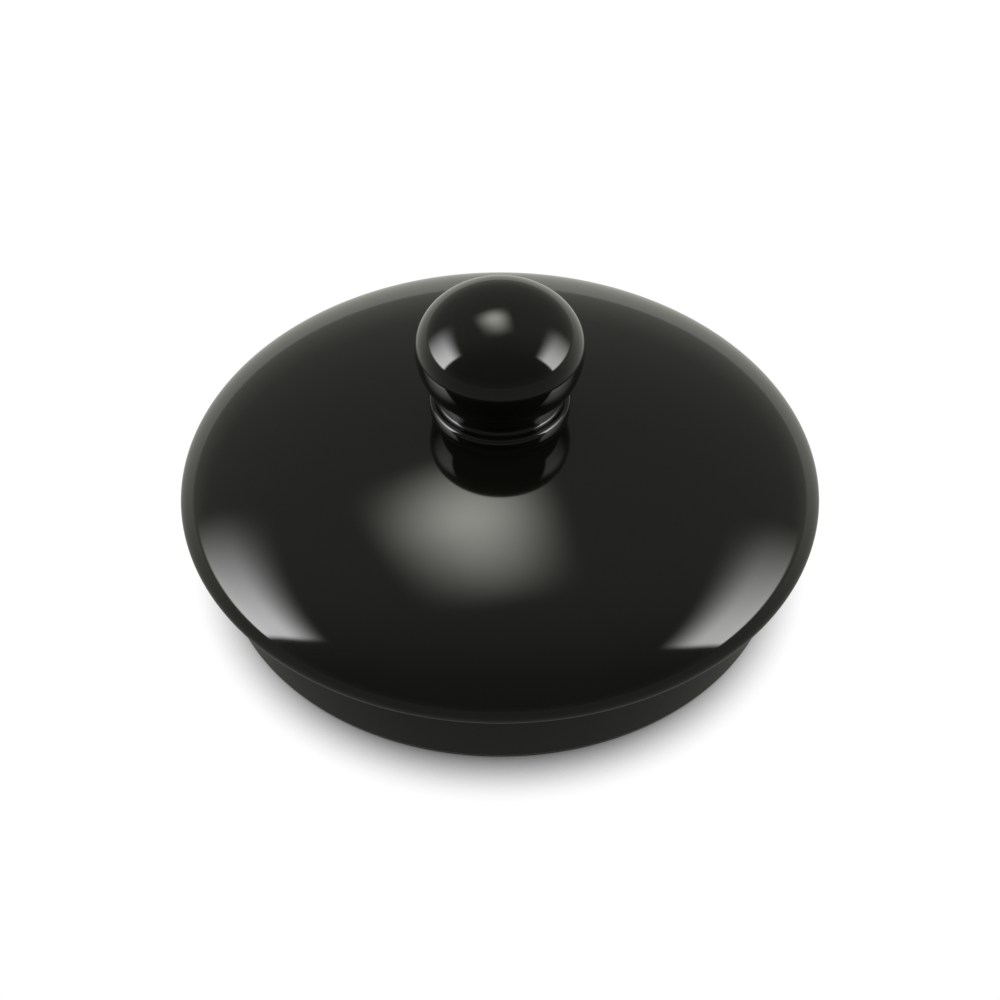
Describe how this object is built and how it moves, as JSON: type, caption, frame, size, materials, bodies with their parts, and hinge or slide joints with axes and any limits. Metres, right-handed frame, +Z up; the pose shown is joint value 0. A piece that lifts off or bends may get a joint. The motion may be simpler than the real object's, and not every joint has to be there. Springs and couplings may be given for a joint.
{
  "type": "sink stopper",
  "caption": "Domed drop-in stopper that closes a sink outlet, with a weighted plug body and a ball knob to lift it by.",
  "frame": {"origin": "centre of the plane that the skirt stands on", "axes": "+Z up along the stopper's axis, from the skirt to the knob"},
  "size_m": [0.096, 0.096, 0.0492],
  "materials": {
    "gloss_black": "polished gloss",
    "rubber": "matt",
    "brass": "turned",
    "steel": "satin"
  },
  "bodies": {
    "stopper": {"dome_cover": "gloss_black", "chamber_seal": "rubber", "rim_gasket": "rubber", "plug_body": "gloss_black", "ballast_ring": "steel", "centre_bolt": "steel", "lock_washer": "steel", "flat_washer": "steel", "seal_washer": "rubber", "collar_seal": "rubber"},
    "collar": {"knob_collar": "gloss_black"},
    "knob": {"knob": "gloss_black", "knob_insert": "brass"}
  },
  "joints": [
    {"name": "collar_lift", "type": "slide", "parent": "stopper", "child": "collar", "axis": [0, 0, 1], "range_m": [0, 0.008]},
    {"name": "knob_turn", "type": "hinge", "parent": "collar", "child": "knob", "pos_m": [0, 0, 0.0313], "axis": [0, 0, 1], "range_deg": [0, 2880]}
  ],
  "couplings": [
    {"joint": "collar_lift", "follows": "knob_turn", "m_per_rad": 0.00015915}
  ]
}
